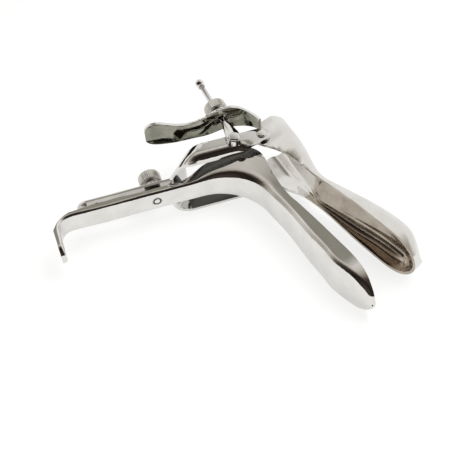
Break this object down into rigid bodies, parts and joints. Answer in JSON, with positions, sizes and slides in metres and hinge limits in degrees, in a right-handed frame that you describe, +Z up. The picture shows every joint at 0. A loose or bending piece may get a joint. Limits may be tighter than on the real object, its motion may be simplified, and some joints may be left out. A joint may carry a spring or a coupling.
{
  "type": "bivalve speculum",
  "caption": "Self-retaining bivalve speculum of polished steel: channelled lower blade with hooked handle, hinged upper blade with thumb lever, slotted yoke and knurled screws.",
  "frame": {"origin": "centre of the bounding box in plan, at the surface the instrument lies on", "axes": "+Z up from that surface, to the side of the instrument that carries the thumb lever; +X runs close to the way the blades point; +Y from the lower blade towards the upper blade"},
  "size_m": [0.1886, 0.1714, 0.0555],
  "materials": {
    "polished_steel": "mirror-polished stainless steel",
    "dark_steel": "dull steel"
  },
  "bodies": {
    "handle_side": {"lower_blade": "polished_steel", "height_stud": "polished_steel", "height_spacer": "dark_steel"},
    "yoke_side": {"yoke": "polished_steel", "pivot_pin_lever_side": "polished_steel", "pivot_pin_plain_side": "polished_steel", "swivel_pin": "polished_steel"},
    "upper_side": {"upper_blade": "polished_steel", "thumb_lever": "polished_steel"},
    "rod_side": {"angle_rod": "polished_steel", "rod_end_ball": "polished_steel"},
    "angle_nut_side": {"angle_nut": "polished_steel"},
    "height_nut_side": {"height_nut": "polished_steel"}
  },
  "joints": [
    {"name": "yoke_slide", "type": "slide", "parent": "handle_side", "child": "yoke_side", "axis": [0.3108, 0.9504, 0.0151], "range_m": [-0.006, 0.011]},
    {"name": "blade_hinge", "type": "hinge", "parent": "yoke_side", "child": "upper_side", "pos_m": [-0.03394, 0.05622, 0.02329], "axis": [0.0677, -0.038, 0.997], "range_deg": [-10, 12]},
    {"name": "rod_swing", "type": "hinge", "parent": "yoke_side", "child": "rod_side", "pos_m": [-0.03705, 0.03856, 0.047], "axis": [0.0677, -0.038, 0.997], "range_deg": [-12.5, 15]},
    {"name": "angle_nut_travel", "type": "slide", "parent": "rod_side", "child": "angle_nut_side", "axis": [-0.9765, 0.2026, 0.074], "range_m": [-0.0038, 0.0032]},
    {"name": "height_nut_turn", "type": "hinge", "parent": "handle_side", "child": "height_nut_side", "pos_m": [-0.04472, -0.01587, 0.02127], "axis": [-0.9481, 0.3088, 0.0762], "continuous": true}
  ],
  "couplings": [
    {"joint": "rod_swing", "follows": "blade_hinge", "ratio": 1.2},
    {"joint": "angle_nut_travel", "follows": "blade_hinge", "m_per_rad": -0.0169}
  ]
}
